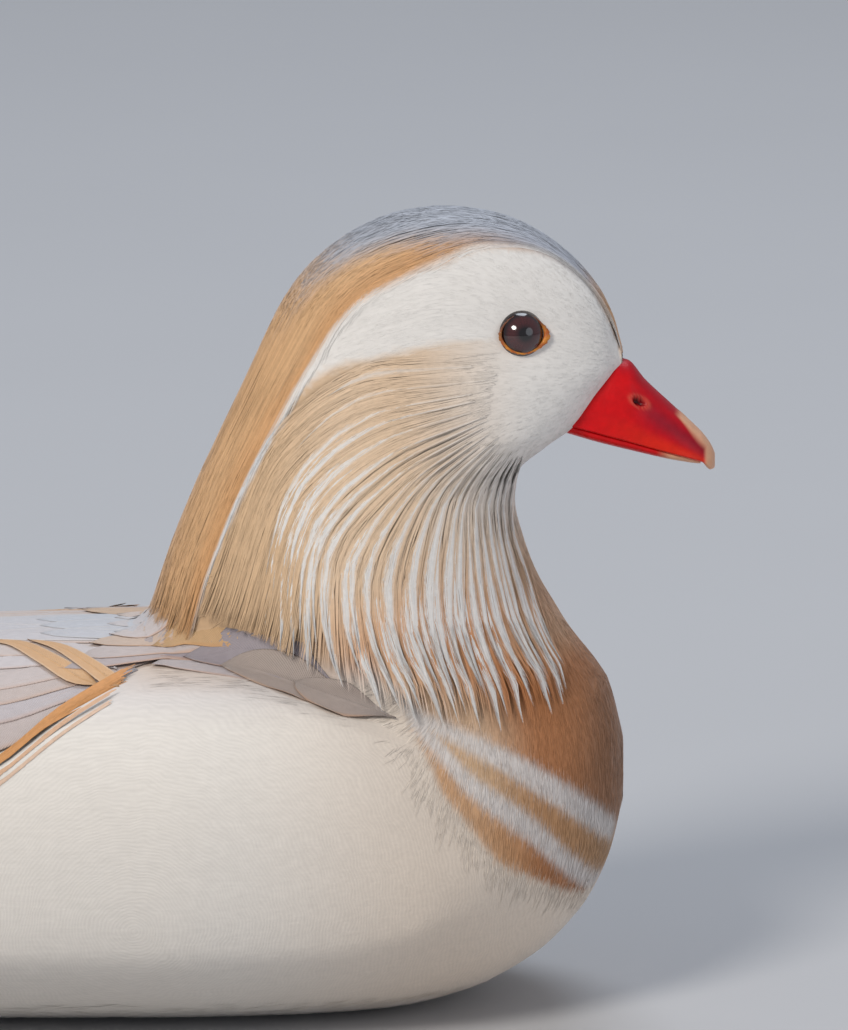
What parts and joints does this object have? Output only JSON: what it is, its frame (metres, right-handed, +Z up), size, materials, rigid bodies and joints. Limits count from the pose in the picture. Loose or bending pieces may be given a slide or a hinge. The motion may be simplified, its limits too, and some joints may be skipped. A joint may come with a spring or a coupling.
{
  "type": "mandarin duck figure",
  "caption": "Life-size still figure of a pale apricot mandarin drake resting on its belly, with crest, ruff, upright sail feathers, folded wings, tail and tucked webbed feet.",
  "frame": {"origin": "on the floor under the middle of the bird's length, in its middle plane", "axes": "+X towards the bill, +Y to the bird's left, +Z up"},
  "size_m": [0.3501, 0.1368, 0.1749],
  "materials": {
    "white_plumage": "matte",
    "buff_plumage": "matte",
    "apricot_plumage": "matte",
    "cream_plumage": "matte",
    "breast_plumage": "matte",
    "bill": "satin",
    "eye": "gloss",
    "eyelid": "satin",
    "leg": "satin"
  },
  "bodies": {
    "root": {"head": "white_plumage", "neck": "buff_plumage", "torso": "breast_plumage", "crest": "apricot_plumage", "bill_upper": "bill", "bill_lower": "bill", "tail": "white_plumage", "eye_left": "eye", "eye_right": "eye", "eyelid_left": "eyelid", "eyelid_right": "eyelid", "ruff_left": "buff_plumage", "ruff_right": "buff_plumage", "flank_left": "cream_plumage", "flank_right": "cream_plumage", "wing_left": "white_plumage", "wing_right": "white_plumage", "sail_left": "apricot_plumage", "sail_right": "apricot_plumage", "leg_left": "leg", "leg_right": "leg"}
  },
  "joints": []
}
